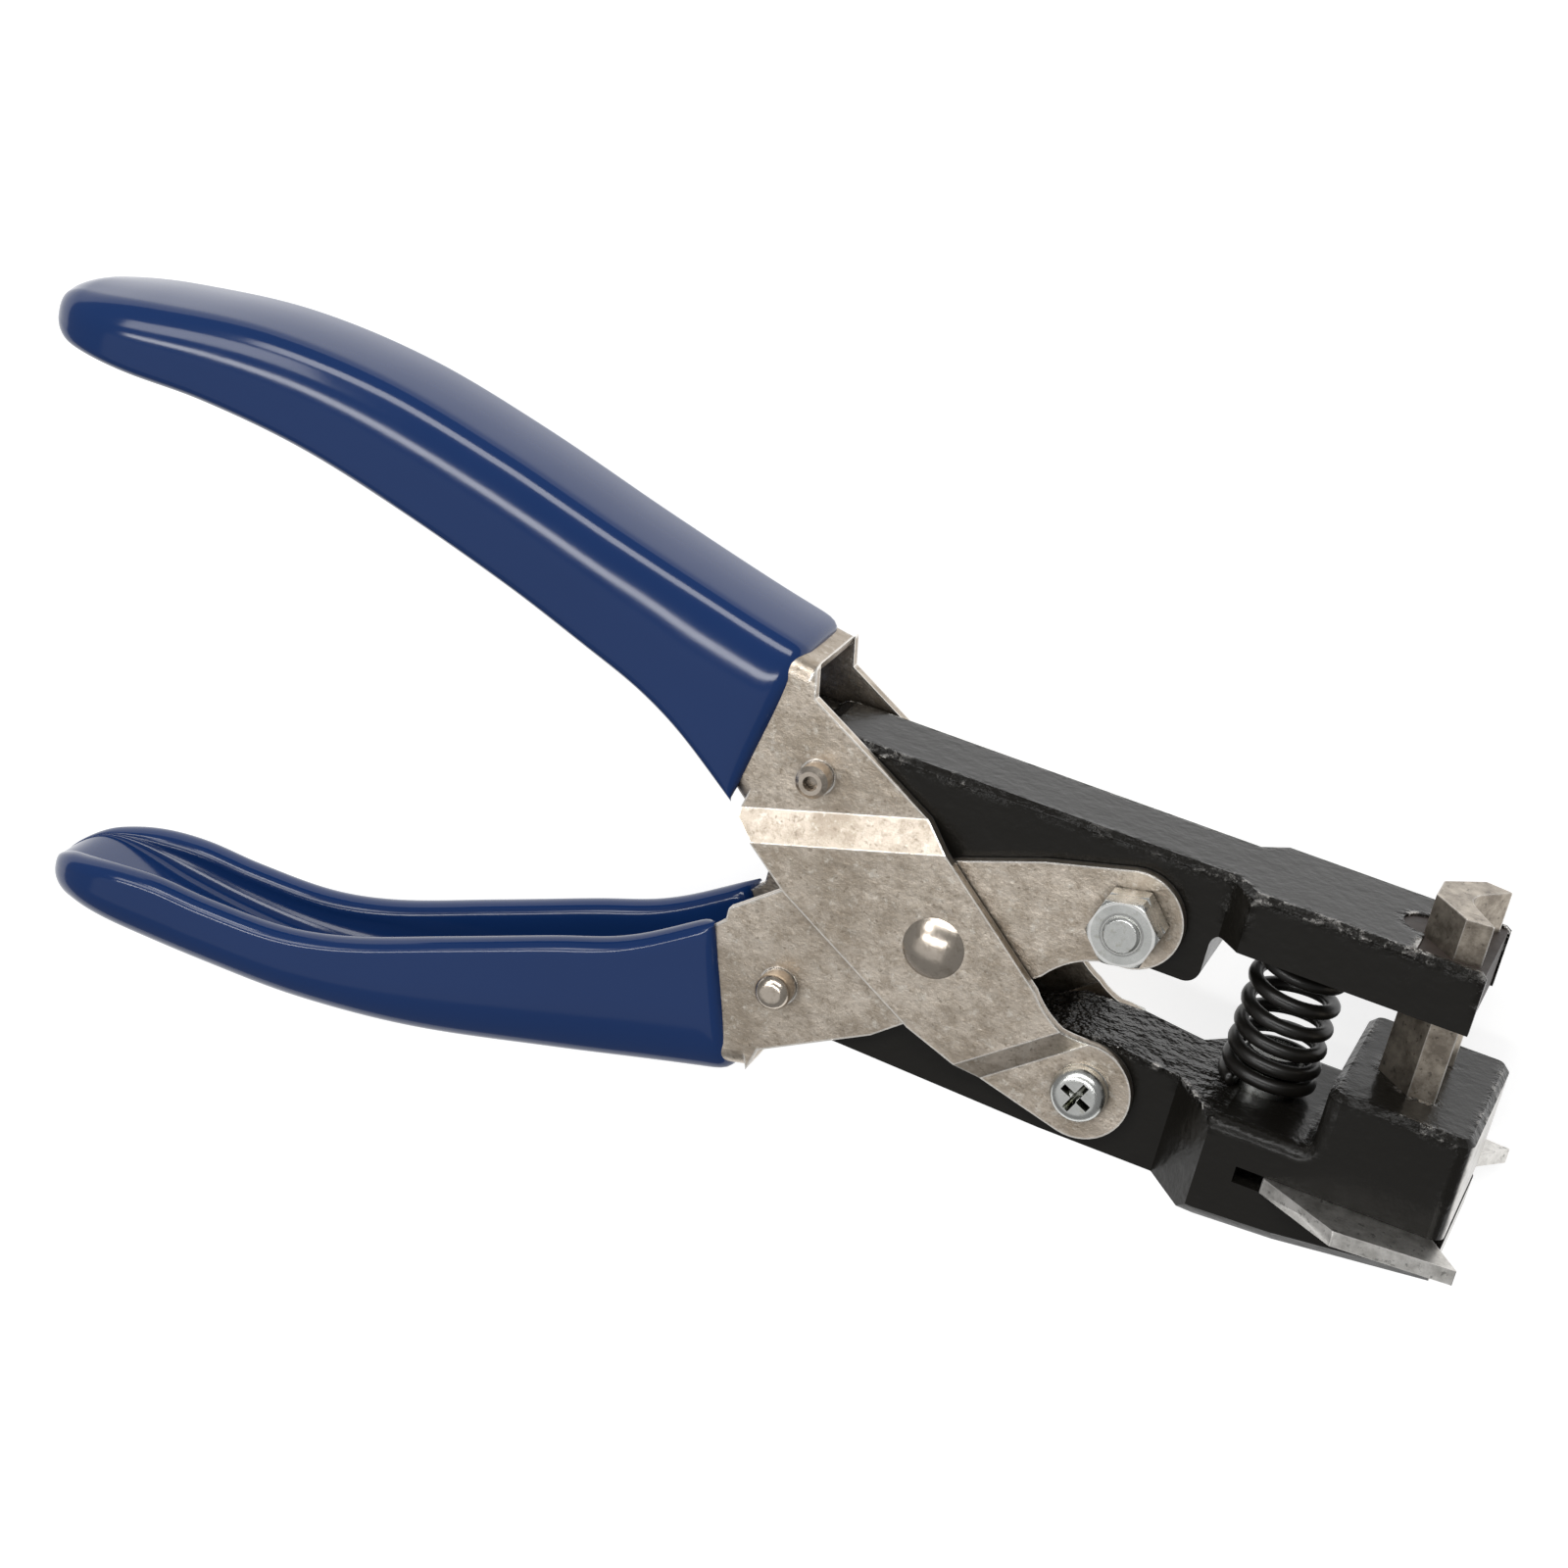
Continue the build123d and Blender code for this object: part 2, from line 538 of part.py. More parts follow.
def rear_upper_pin():
    end = A_OUT + PIN_UP_OUT
    body = cyl_z(REAR_UP, PIN_UP_D, -end, end)
    body = chamfer(body.edges().filter_by(GeomType.CIRCLE), 0.6)
    drills = cyl_z(REAR_UP, CENTRE_DRILL_D, end - 1.2, end) + cyl_z(REAR_UP, CENTRE_DRILL_D, -end, 1.2 - end)
    return body - drills


def rear_lower_pin():
    end = A_OUT + PIN_LOW_OUT
    body = cyl_z(REAR_LOW, PIN_LOW_D, -end, end)
    return fillet(body.edges().filter_by(GeomType.CIRCLE), 1.4)


def slot_roller(centre, pin_d):
    return ring_z(centre, ROLLER_D, pin_d + 2 * RUN, -ROLLER_HALF, ROLLER_HALF)


# ---------------------------------------------------------------- output
def all_nodes():
    nodes = {"upper_handle": upper_handle(), "lower_handle": lower_handle()}
    nodes["upper_grip"] = upper_grip(nodes["upper_handle"])
    nodes["lower_grip"] = lower_grip(nodes["lower_handle"])
    nodes["upper_jaw"] = upper_jaw()
    nodes["lower_jaw"] = lower_jaw()
    nodes["guide_plate"] = guide_plate()
    nodes["die_plate"] = die_plate()
    nodes["plate_screws"] = plate_screws()
    nodes["punch"] = punch()
    nodes["punch_holder"] = punch_holder()
    nodes["punch_cross_pin"] = punch_cross_pin()
    nodes["spring_post"] = spring_post()
    nodes["spring_cup"] = spring_cup()
    nodes["return_spring"] = return_spring()
    nodes["pivot_rivet"] = pivot_rivet()
    nodes["lower_pivot_bush"] = pivot_bush(-FRONT_Y)
    nodes["upper_pivot_bush"] = pivot_bush(FRONT_Y)
    nodes["upper_jaw_bolt"] = upper_jaw_bolt()
    nodes["jam_nuts"] = jam_nuts()
    nodes["lower_jaw_screw"] = lower_jaw_screw()
    nodes["lower_screw_nut"] = lower_screw_nut()
    nodes["lower_screw_washer"] = far_washer(-FRONT_Y)
    nodes["upper_bolt_washer"] = far_washer(FRONT_Y)
    nodes["rear_upper_pin"] = rear_upper_pin()
    nodes["rear_lower_pin"] = rear_lower_pin()
    nodes["upper_slot_roller"] = slot_roller(REAR_UP, PIN_UP_D)
    nodes["lower_slot_roller"] = slot_roller(REAR_LOW, PIN_LOW_D)
    return nodes


def main():
    os.makedirs("parts", exist_ok=True)
    nodes = all_nodes()
    boxes = [shape.bounding_box() for shape in nodes.values()]
    low = [min(tuple(b.min)[i] for b in boxes) for i in range(3)]
    high = [max(tuple(b.max)[i] for b in boxes) for i in range(3)]
    shift = Pos(-(low[0] + high[0]) / 2, -(low[1] + high[1]) / 2, -low[2])
    for name, shape in nodes.items():
        export_step(shift * shape, f"parts/{name}.step")


main()
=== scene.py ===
import json
import math
import bmesh
import bpy
from mathutils import Matrix, Vector


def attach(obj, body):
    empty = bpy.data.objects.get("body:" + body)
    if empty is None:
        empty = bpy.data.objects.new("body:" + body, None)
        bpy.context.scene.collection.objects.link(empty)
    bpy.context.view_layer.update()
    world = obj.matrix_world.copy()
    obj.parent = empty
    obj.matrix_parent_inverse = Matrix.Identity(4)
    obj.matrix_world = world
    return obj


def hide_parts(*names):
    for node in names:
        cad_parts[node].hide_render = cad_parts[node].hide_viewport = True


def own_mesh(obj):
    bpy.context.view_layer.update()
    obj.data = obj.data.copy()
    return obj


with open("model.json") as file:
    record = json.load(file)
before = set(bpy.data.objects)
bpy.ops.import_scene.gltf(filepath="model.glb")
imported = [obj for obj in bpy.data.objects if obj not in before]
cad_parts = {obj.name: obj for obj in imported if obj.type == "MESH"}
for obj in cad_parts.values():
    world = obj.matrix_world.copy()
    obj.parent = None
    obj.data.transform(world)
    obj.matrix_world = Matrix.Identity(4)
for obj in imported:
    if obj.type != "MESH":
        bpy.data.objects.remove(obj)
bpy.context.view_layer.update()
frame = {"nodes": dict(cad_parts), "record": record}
NODES = frame["nodes"]

MM = 0.001
SHIFT = Vector((30.55, -3.09457, 21.2))      # drawing origin (main rivet) in the row frame, mm

# camera, in drawing millimetres
CAMERA_AT = Vector((85.8, 198.4, 459.0))
CAMERA_RIGHT = Vector((0.91636, 0.23888, -0.32128))
CAMERA_UP = Vector((-0.33482, 0.89724, -0.28785))
CAMERA_BACK = Vector((0.21951, 0.37135, 0.90217))
LENS_MM = 93.67
SENSOR_MM = 36.0

# painted rings on the clamping nut, shade for the thread groove and highlight for the chamfer, as
# fractions of NUT_REACH from its axis
NUT_AT = (22.1, 11.8)
NUT_REACH = 5.0                    # mm
THREAD_GROOVE_SHADE = [(0.45, 0.0), (0.47, 0.8), (0.52, 0.7), (0.56, 0.0)]
CHAMFER_HIGHLIGHT = [(0.745, 0.0), (0.765, 0.85), (0.80, 0.75), (0.83, 0.1)]

# heights between which edge wear fades in on each jaw, row frame, m
UPPER_WEAR = (0.0115, 0.0135)
LOWER_WEAR = (-0.0115, -0.0095)

# zones of the lower jaw along X in the row frame, m
CAST_START = (0.0375, 0.0420)
CAST_STOP = (0.0705, 0.0665)
BARE_END = (0.0965, 0.0975)


def row(x, y, z=0.0):
    """Drawing millimetres to row-frame metres."""
    return (Vector((x, y, z)) + SHIFT) * MM


# ------------------------------------------------------------------ material helpers
class Graph:
    """A node material under construction, with short names for the nodes it needs."""

    def __init__(self, name):
        self.material = bpy.data.materials.new(name)
        self.material.use_nodes = True
        self.tree = self.material.node_tree
        self.shader = self.tree.nodes["Principled BSDF"]
        self.position = self.add("ShaderNodeTexCoord").outputs["Object"]

    def add(self, kind, **settings):
        node = self.tree.nodes.new(kind)
        for key, value in settings.items():
            setattr(node, key, value)
        return node

    def link(self, source, target):
        self.tree.links.new(source, target)

    def scaled(self, factors):
        mapping = self.add("ShaderNodeMapping")
        mapping.inputs["Scale"].default_value = factors
        self.link(self.position, mapping.inputs["Vector"])
        return mapping.outputs["Vector"]

    def noise(self, scale, detail=4.0, rough=0.55, vector=None, distortion=0.0):
        node = self.add("ShaderNodeTexNoise")
        node.inputs["Scale"].default_value = scale
        node.inputs["Detail"].default_value = detail
        node.inputs["Roughness"].default_value = rough
        node.inputs["Distortion"].default_value = distortion
        self.link(vector or self.position, node.inputs["Vector"])
        return node.outputs["Fac"]

    def ramp(self, source, stops):
        node = self.add("ShaderNodeValToRGB")
        ramp = node.color_ramp
        while len(ramp.elements) < len(stops):
            ramp.elements.new(0.5)
        for element, (place, value) in zip(ramp.elements, stops):
            element.position = place
            colour = value if isinstance(value, tuple) else (value, value, value)
            element.color = (*colour, 1.0)
        self.link(source, node.inputs["Fac"])
        return node.outputs["Color"]

    def mix(self, factor, a, b):
        node = self.add("ShaderNodeMix", data_type="RGBA")
        fac, first, second = (s for s in node.inputs if s.enabled)
        for socket, value in ((fac, factor), (first, a), (second, b)):
            self.feed(socket, value)
        return next(s for s in node.outputs if s.enabled)

    def maths(self, operation, a, b=None, clamp=False):
        node = self.add("ShaderNodeMath", operation=operation, use_clamp=clamp)
        self.feed(node.inputs[0], a)
        if b is not None:
            self.feed(node.inputs[1], b)
        return node.outputs["Value"]

    def feed(self, socket, value):
        if isinstance(value, bpy.types.NodeSocket):
            self.link(value, socket)
        elif isinstance(value, tuple):
            socket.default_value = (*value, 1.0)
        elif socket.type == "RGBA":
            socket.default_value = (value, value, value, 1.0)
        else:
            socket.default_value = value

    def span(self, source, low, high):
        node = self.add("ShaderNodeMapRange")
        node.inputs["To Min"].default_value = low
        node.inputs["To Max"].default_value = high
        self.link(source, node.inputs["Value"])
        return node.outputs["Result"]

    def bump(self, height, distance, strength=1.0, after=None):
        node = self.add("ShaderNodeBump")
        node.inputs["Distance"].default_value = distance
        node.inputs["Strength"].default_value = strength
        self.link(height, node.inputs["Height"])
        if after is not None:
            self.link(after, node.inputs["Normal"])
        return node.outputs["Normal"]

    def normal_part(self, axis):
        """One component of the surface normal in the object's own frame."""
        split = self.add("ShaderNodeSeparateXYZ")
        self.link(self.add("ShaderNodeTexCoord").outputs["Normal"], split.inputs[0])
        return split.outputs[axis]

    def place(self, axis):
        split = self.add("ShaderNodeSeparateXYZ")
        self.link(self.position, split.inputs[0])
        return split.outputs[axis]

    def step(self, source, start, end):
        """0 at start, 1 at end, straight between."""
        node = self.add("ShaderNodeMapRange")
        node.inputs["From Min"].default_value = start
        node.inputs["From Max"].default_value = end
        self.link(source, node.inputs["Value"])
        return node.outputs["Result"]

    def times(self, *values):
        result = values[0]
        for value in values[1:]:
            result = self.maths("MULTIPLY", result, value)
        return result

    def corner(self, radius_mm):
        """Cosine between the surface and its rounded-over version: 1 on flats, less near edges."""
        bevel = self.add("ShaderNodeBevel", samples=6)
        bevel.inputs["Radius"].default_value = radius_mm * MM
        flat = self.add("ShaderNodeNewGeometry").outputs["Normal"]
        dot = self.add("ShaderNodeVectorMath", operation="DOT_PRODUCT")
        self.link(bevel.outputs["Normal"], dot.inputs[0])
        self.link(flat, dot.inputs[1])
        return dot.outputs["Value"]

    def edges(self, radius_mm, low=0.84, high=0.985, amount=1.0):
        """amount on sharp edges, 0 on flats."""
        return self.ramp(self.corner(radius_mm), [(low, amount), (high, 0.0)])

    def patches(self, scale, detail, rough, start, end, amount=1.0):
        """Spots of noise: 0 below start, amount above end."""
        return self.ramp(self.noise(scale, detail, rough), [(start, 0.0), (end, amount)])

    def painted_corner_shade(self, colour, reach_mm, darkest):
        """Painted shade: darkens the colour by ambient occlusion in corners, holes and round things that
        stand on the surface.
        """
        shade = self.add("ShaderNodeAmbientOcclusion", samples=8)
        shade.inputs["Distance"].default_value = reach_mm * MM
        amount = self.ramp(shade.outputs["AO"], [(0.25, 1.0), (0.85, 0.0)])
        return self.mix(amount, colour, darkest)

    def finish(self, colour, roughness, normal=None, metallic=0.0):
        self.feed(self.shader.inputs["Base Color"], colour)
        self.feed(self.shader.inputs["Roughness"], roughness)
        self.shader.inputs["Metallic"].default_value = metallic
        if normal is not None:
            self.link(normal, self.shader.inputs["Normal"])
        return self.material


# ------------------------------------------------------------------ materials
BARE_EDGE = (0.84, 0.82, 0.79)     # metal rubbed bright on its edges


def blue_dip():
    """Glossy vinyl dip with slow ripples and a few specks."""
    g = Graph("blue_dip")
    colour = g.mix(g.noise(28.0, 2.0), (0.0060, 0.0262, 0.104), (0.0072, 0.0300, 0.118))
    fine = g.noise(900.0, 3.0)
    specks = g.ramp(g.noise(2400.0, 2.0), [(0.60, 0.0), (0.72, 1.0)])
    rough = g.span(g.noise(160.0, 3.0), 0.09, 0.16)
    ripple = g.bump(g.noise(34.0, 2.0), 0.0006, 0.30)
    normal = g.bump(g.mix(0.3, fine, specks), 0.00001, 0.25, ripple)
    g.shader.inputs["Specular IOR Level"].default_value = 0.42
    return g.finish(colour, rough, normal)


def nickel():
    """Dull nickel plate: clouded and stained, with painted highlights on cut edges and bend lines and
    painted shade in corners.
    """
    g = Graph("nickel_plate")
    blotch = g.noise(560.0, 6.0, 0.78)
    grain = g.noise(1900.0, 4.0, 0.7)
    clouds = g.patches(110.0, 5.0, 0.62, 0.38, 0.60)
    base = g.mix(clouds, (0.385, 0.328, 0.264), (0.60, 0.530, 0.450))
    base = g.mix(g.ramp(blotch, [(0.46, 0.0), (0.60, 0.70)]), base, (0.33, 0.275, 0.215))
    base = g.mix(g.patches(700.0, 5.0, 0.75, 0.56, 0.66, 0.55), base, (0.74, 0.70, 0.63))
    base = g.mix(g.patches(1250.0, 3.0, 0.6, 0.62, 0.68, 0.55), base, (0.19, 0.155, 0.115))
    # painted highlight: a light colour on the sharp cut edges and along the bend lines
    corner = g.corner(0.42)
    bend_highlight = g.ramp(corner, [(0.980, 1.0), (0.998, 0.0)])
    bend_highlight = g.times(bend_highlight, g.ramp(blotch, [(0.36, 0.25), (0.52, 0.9)]))
    edge_highlight = g.ramp(corner, [(0.84, 0.9), (0.985, 0.0)])
    bright = g.maths("MAXIMUM", edge_highlight, bend_highlight)
    # painted highlight on the edges and bends over painted shade in the corners
    colour = g.mix(bright, g.painted_corner_shade(base, 2.2, (0.085, 0.066, 0.048)), (0.93, 0.91, 0.87))
    scratch = g.noise(110.0, 5.0, 0.8, g.scaled((1.0, 18.0, 1.0)))
    rough = g.mix(bright, g.span(g.mix(0.5, blotch, grain), 0.24, 0.52), 0.20)
    normal = g.bump(g.mix(0.5, grain, scratch), 0.00006, 0.45)
    normal = g.bump(g.noise(330.0, 5.0, 0.7), 0.00024, 0.60, normal)
    return g.finish(colour, rough, normal, 0.95)


def pin_nickel():
    """Smoother nickel of the rivet and the rear pins."""
    g = Graph("pin_nickel")
    stain = g.patches(700.0, 4.0, 0.7, 0.48, 0.66, 0.5)
    colour = g.mix(stain, (0.66, 0.585, 0.50), (0.38, 0.32, 0.25))
    # painted shade round the pin bases and in their holes
    colour = g.painted_corner_shade(colour, 1.2, (0.05, 0.038, 0.028))
    rough = g.span(g.noise(900.0, 3.0), 0.16, 0.28)
    normal = g.bump(g.noise(1500.0, 4.0, 0.7), 0.00004, 0.5)
    return g.finish(colour, rough, normal, 1.0)


def cast_zone(g):
    """The rough cast top of the lower shank."""
    upward = g.step(g.normal_part("Y"), 0.45, 0.75)
    along = g.place("X")
    return g.times(upward, g.step(along, *CAST_START), g.step(along, *CAST_STOP), 0.8)


def bare_end(g):
    """The ground end face of the punch block, with paint left in patches."""
    outward = g.step(g.normal_part("X"), 0.80, 0.95)
    paint = g.ramp(g.noise(420.0, 5.0, 0.7), [(0.36, 0.55), (0.55, 1.0)])
    return g.times(outward, g.step(g.place("X"), *BARE_END), paint)


def black_forged(name, wear_above, lower_jaw=False):
    """Black enamel, lumpy and chipped along the upper edges."""
    g = Graph(name)
    uneven = g.times(
        g.edges(2.1, 0.88, 0.9990),
        g.ramp(g.noise(62.0, 2.0), [(0.38, 0.15), (0.52, 1.0)]),
        g.step(g.place("Y"), *wear_above))
    lumps = g.noise(540.0, 3.0, 0.55)
    peaks = g.ramp(g.mix(0.35, lumps, g.noise(1500.0, 3.0, 0.7)), [(0.53, 0.0), (0.565, 1.0)])
    metal = g.times(g.ramp(uneven, [(0.50, 0.0), (0.90, 1.0)]), peaks)
    if lower_jaw:
        uneven = g.maths("MAXIMUM", uneven, cast_zone(g))
        metal = g.maths("MAXIMUM", metal, bare_end(g))
    colour = g.mix(metal, (0.0090, 0.0082, 0.0068), (0.60, 0.58, 0.55))
    enamel = g.mix(uneven, g.span(g.noise(240.0, 4.0), 0.17, 0.31), 0.13)
    rough = g.mix(metal, enamel, 0.32)
    normal = g.bump(g.mix(uneven, g.times(lumps, 0.03), lumps), 0.0032, 1.0)
    normal = g.bump(g.noise(130.0, 3.0), 0.0003, 0.22, normal)
    g.shader.inputs["Specular IOR Level"].default_value = 0.22
    material = g.finish(colour, rough, normal)
    g.link(metal, g.shader.inputs["Metallic"])
    return material


def ground_steel(name, low, high, roughness, stretch):
    """Ground steel between two tones, with grinding lines squeezed by stretch."""
    g = Graph(name)
    lines = g.noise(260.0, 5.0, 0.7, g.scaled(stretch))
    blotch = g.noise(420.0, 6.0, 0.72)
    colour = g.mix(g.ramp(blotch, [(0.38, 0.0), (0.62, 1.0)]), low, high)
    pit_colour = tuple(0.35 * v for v in low)
    colour = g.mix(g.patches(1150.0, 3.0, 0.6, 0.61, 0.67, 0.6), colour, pit_colour)
    colour = g.mix(g.edges(0.35, amount=0.9), colour, BARE_EDGE)
    rough = g.span(g.mix(0.5, lines, blotch), *roughness)
    normal = g.bump(lines, 0.00005, 0.6)
    normal = g.bump(g.noise(700.0, 4.0, 0.7), 0.00010, 0.35, normal)
    return g.finish(colour, rough, normal, 0.95)


def distance_to_pin(g, pin):
    """Distance to a pin axis as a fraction of NUT_REACH."""
    centre = row(*pin)
    aside = g.maths("POWER", g.maths("SUBTRACT", g.place("X"), centre.x), 2.0)
    above = g.maths("POWER", g.maths("SUBTRACT", g.place("Y"), centre.y), 2.0)
    return g.times(g.maths("SQRT", g.maths("ADD", aside, above)), 1 / (NUT_REACH * MM))


def zinc(name="bright_zinc", nut_at=None):
    """Bright zinc with painted highlights on its edges and painted shade in corners; with nut_at, a
    painted shade ring for the thread groove and a painted highlight ring for the chamfer round that pin
    axis.
    """
    g = Graph(name)
    colour = g.mix(g.noise(330.0, 4.0), (0.52, 0.53, 0.51), (0.78, 0.79, 0.77))
    colour = g.mix(g.patches(900.0, 4.0, 0.7, 0.54, 0.68, 0.45), colour, (0.36, 0.35, 0.27))
    if nut_at:
        radius = distance_to_pin(g, nut_at)
        # painted shade ring where the thread groove is, painted highlight ring where the chamfer is
        colour = g.mix(g.ramp(radius, THREAD_GROOVE_SHADE), colour, (0.10, 0.10, 0.095))
        colour = g.mix(g.ramp(radius, CHAMFER_HIGHLIGHT), colour, (0.97, 0.97, 0.95))
    # painted highlight on the sharp edges
    colour = g.mix(g.edges(0.35, amount=0.7), colour, (0.92, 0.92, 0.90))
    # painted shade in corners
    colour = g.painted_corner_shade(colour, 1.0, (0.10, 0.105, 0.07))
    rough = g.span(g.noise(700.0, 3.0), 0.18, 0.36)
    return g.finish(colour, rough, g.bump(g.noise(1200.0, 3.0), 0.00003, 0.5), 1.0)


def spring_black():
    g = Graph("spring_black")
    rough = g.span(g.noise(500.0, 3.0), 0.26, 0.42)
    colour = g.mix(g.noise(300.0, 3.0), (0.004, 0.0036, 0.003), (0.010, 0.009, 0.0075))
    g.shader.inputs["Specular IOR Level"].default_value = 0.45
    return g.finish(colour, rough, g.bump(g.noise(800.0, 3.0), 0.00004, 0.4))


def dark_insert():
    g = Graph("dark_insert")
    colour = g.mix(g.noise(400.0, 4.0), (0.012, 0.009, 0.008), (0.045, 0.030, 0.024))
    rough = g.span(g.noise(500.0, 3.0), 0.45, 0.7)
    return g.finish(colour, rough, g.bump(g.noise(900.0, 4.0), 0.00008, 0.6))


def bronze():
    g = Graph("bush_bronze")
    colour = g.mix(g.noise(300.0, 4.0), (0.30, 0.19, 0.09), (0.48, 0.33, 0.17))
    rough = g.span(g.noise(500.0, 3.0), 0.3, 0.5)
    return g.finish(colour, rough, g.bump(g.noise(900.0, 3.0), 0.00003, 0.5), 0.9)


def punch_steel():
    low, high = (0.24, 0.206, 0.168), (0.48, 0.425, 0.355)
    return ground_steel("tool_steel", low, high, (0.26, 0.46), (1.0, 0.1, 1.0))


def plate_steel():
    low, high = (0.52, 0.505, 0.475), (0.82, 0.80, 0.765)
    return ground_steel("bright_steel", low, high, (0.24, 0.42), (1.0, 1.0, 12.0))


# by material slot, then the nodes that look different from the rest of their slot
MATERIALS = {
    "blue_grip": blue_dip(),
    "nickel_plate": nickel(),
    "black_jaw": black_forged("black_forged", UPPER_WEAR),
    "tool_steel": punch_steel(),
    "bright_steel": plate_steel(),
    "zinc": zinc(),
    "spring_black": spring_black(),
    "dark_brown": dark_insert(),
    "bronze": bronze(),
}
BY_NODE = {
    "lower_jaw": black_forged("black_forged_lower", LOWER_WEAR, lower_jaw=True),
    "jam_nuts": zinc("bright_zinc_nut", NUT_AT),
    **dict.fromkeys(("pivot_rivet", "rear_upper_pin", "rear_lower_pin"), pin_nickel()),
}


# ------------------------------------------------------------------ CAD nodes
# rounding of the sharp edges, mm
SOFT_EDGES = {
    "upper_jaw": 0.6, "lower_jaw": 0.6,
    "upper_handle": 0.3, "lower_handle": 0.3,
    "punch_holder": 0.2, "guide_plate": 0.15, "punch": 0.15,
    "jam_nuts": 0.12, "upper_jaw_bolt": 0.12, "lower_jaw_screw": 0.12, "lower_screw_nut": 0.12,
}
SHARP_ANGLE = 35.0


def soften(obj, width_mm):
    """Rounds the sharp edges of a CAD mesh without touching its own vertices."""
    weld = obj.modifiers.new("weld", "WELD")
    weld.merge_threshold = 2e-6
    bevel = obj.modifiers.new("bevel", "BEVEL")
    bevel.width = width_mm * MM
    bevel.segments = 2
    bevel.limit_method = "ANGLE"
    bevel.angle_limit = math.radians(SHARP_ANGLE)
    bevel.use_clamp_overlap = True
    bevel.harden_normals = False
    bevel.miter_outer = "MITER_ARC"


def dress_nodes():
    slots = {part["node"]: part["material_slot"] for part in frame["record"]["subparts"]}
    for name, obj in NODES.items():
        obj.data.materials.clear()
        obj.data.materials.append(BY_NODE.get(name) or MATERIALS[slots[name]])
        if name in SOFT_EDGES:
            soften(obj, SOFT_EDGES[name])


# ------------------------------------------------------------------ grips
# section, mm
GRIP_HALF = 9.6
GRIP_INSIDE = 5.45                 # half width of the open channel
TOP_RADIUS = 3.6                   # corner between crown and wall: run across and down
CORNER_DROP = 9.2
CROWN_RISE = (0.35, 0.27)          # at the middle and half-way to the corner
RIM_DEPTH = 1.7
FLOOR_BEND = 4.6
DISH_BLEND = 1.6                   # softness where the channel runs out at the tip
RIM_ANGLES_OUT = (0, 0.4, 0.8, 1.2, math.pi / 2)
RIM_ANGLES_IN = (1.95, 2.35, 2.75, math.pi)

# along the grip, mm
GRIP_RINGS = 64
RING_CROWDING = 0.9                # rings stand closer together towards the tip
TIP_ROUND = 4.6                    # length over which the side outline closes
TIP_SWELL = 15.0                   # length over which the plan outline rounds off
PLAN_POWER = 2.8
FRONT_BLEND = 12.0                 # length over which the rings turn to the slanted front edge
RING_LEAN = 0.85                   # share of the outline's slope that the rings follow
LEAN_RELEASE = 25.0                # the rings stand upright again over this length at the tip
SLOPE_STEP = 0.5
RIM_AHEAD = 3.0

# outlines in drawing millimetres, from front to tip: x and height above the X axis
UPPER_GRIP = {
    "outer": [(-25.0, 29.9), (-34, 31.9), (-51, 36.3), (-69, 41.3), (-86, 44.9), (-103, 45.9),
              (-119, 44.1), (-133.4, 41.3)],
    "rim": [(-29.8, 8.1), (-38.5, 14.5), (-45, 18.0), (-52, 20.6), (-64, 24.8), (-81, 29.7),
            (-95, 32.9), (-109, 34.4), (-120, 34.5), (-133.4, 35.4)],
    "depth": [(-25, 2.7), (-99, 4.4), (-111, 5.6), (-120, 7.4), (-133.4, 9.0)],
    "tip": (-133.4, 38.4), "front": (-25.2, -29.8), "mirror": 1}
LOWER_GRIP = {
    "outer": [(-20.8, 27.0), (-30, 29.3), (-45, 33.2), (-64, 37.7), (-80, 39.6), (-94, 39.7),
              (-106, 39.3), (-119.3, 38.4)],
    "rim": [(-27.9, 7.2), (-38.5, 14.1), (-48, 17.8), (-62, 23.4), (-75, 28.4), (-84, 30.4),
            (-95, 30.6), (-103, 30.2), (-110.5, 31.0), (-119.3, 33.4)],
    "depth": [(-20, 2.7), (-70, 3.4), (-90, 3.9), (-102, 4.9), (-112, 6.2), (-119.3, 7.4)],
    "tip": (-119.4, 36.1), "front": (-20.8, -27.9), "mirror": -1}


def curve_at(points, x):
    """Smooth height at x through points listed from right to left, level past both ends."""
    x = min(max(x, points[-1][0]), points[0][0])
    last = len(points) - 1
    i = 0
    while i < last - 1 and x < points[i + 1][0]:
        i += 1
    (x0, y0), (x1, y1) = points[i], points[i + 1]
    span = x1 - x0

    def slope(k):
        a, b = points[max(k - 1, 0)], points[min(k + 1, last)]
        return (b[1] - a[1]) / (b[0] - a[0]) * span

    t = (x - x0) / span
    return ((2 * t**3 - 3 * t**2 + 1) * y0 + (t**3 - 2 * t**2 + t) * slope(i)
            + (3 * t**2 - 2 * t**3) * y1 + (t**3 - t**2) * slope(i + 1))


def arc(centre, radii, start, end, count):
    """Points on an ellipse arc, angles in degrees."""
    points = []
    for i in range(count + 1):
        a = math.radians(start + (end - start) * i / count)
        points.append((centre[0] + radii[0] * math.cos(a), centre[1] + radii[1] * math.sin(a)))
    return points


